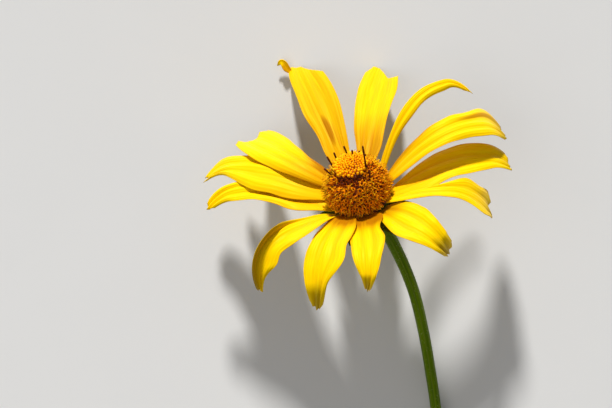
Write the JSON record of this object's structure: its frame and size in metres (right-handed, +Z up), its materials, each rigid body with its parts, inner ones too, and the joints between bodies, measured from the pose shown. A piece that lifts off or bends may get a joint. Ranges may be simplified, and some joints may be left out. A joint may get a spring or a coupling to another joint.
{
  "type": "sunflower",
  "caption": "Cut small-headed sunflower lying on a table, with pleated yellow rays round a tall domed orange disc, leafy green bracts and a bare curved stem.",
  "frame": {"origin": "on the table, under the middle of the lying flower's box", "axes": "+Z up from the table, +Y along the table from the stem's cut end to the head, +X to the right seen from above with the head at the far end"},
  "size_m": [0.0753, 0.1313, 0.0477],
  "materials": {
    "ray": "satin",
    "floret": "matte",
    "bract": "matte",
    "stem": "matte"
  },
  "bodies": {
    "root": {"disc": "floret", "involucre": "bract", "stem": "stem", "ray_petal_01": "ray", "ray_petal_02": "ray", "ray_petal_03": "ray", "ray_petal_04": "ray", "ray_petal_05": "ray", "ray_petal_06": "ray", "ray_petal_07": "ray", "ray_petal_08": "ray", "ray_petal_09": "ray", "ray_petal_10": "ray", "ray_petal_11": "ray", "ray_petal_12": "ray", "ray_petal_13": "ray"}
  },
  "joints": []
}
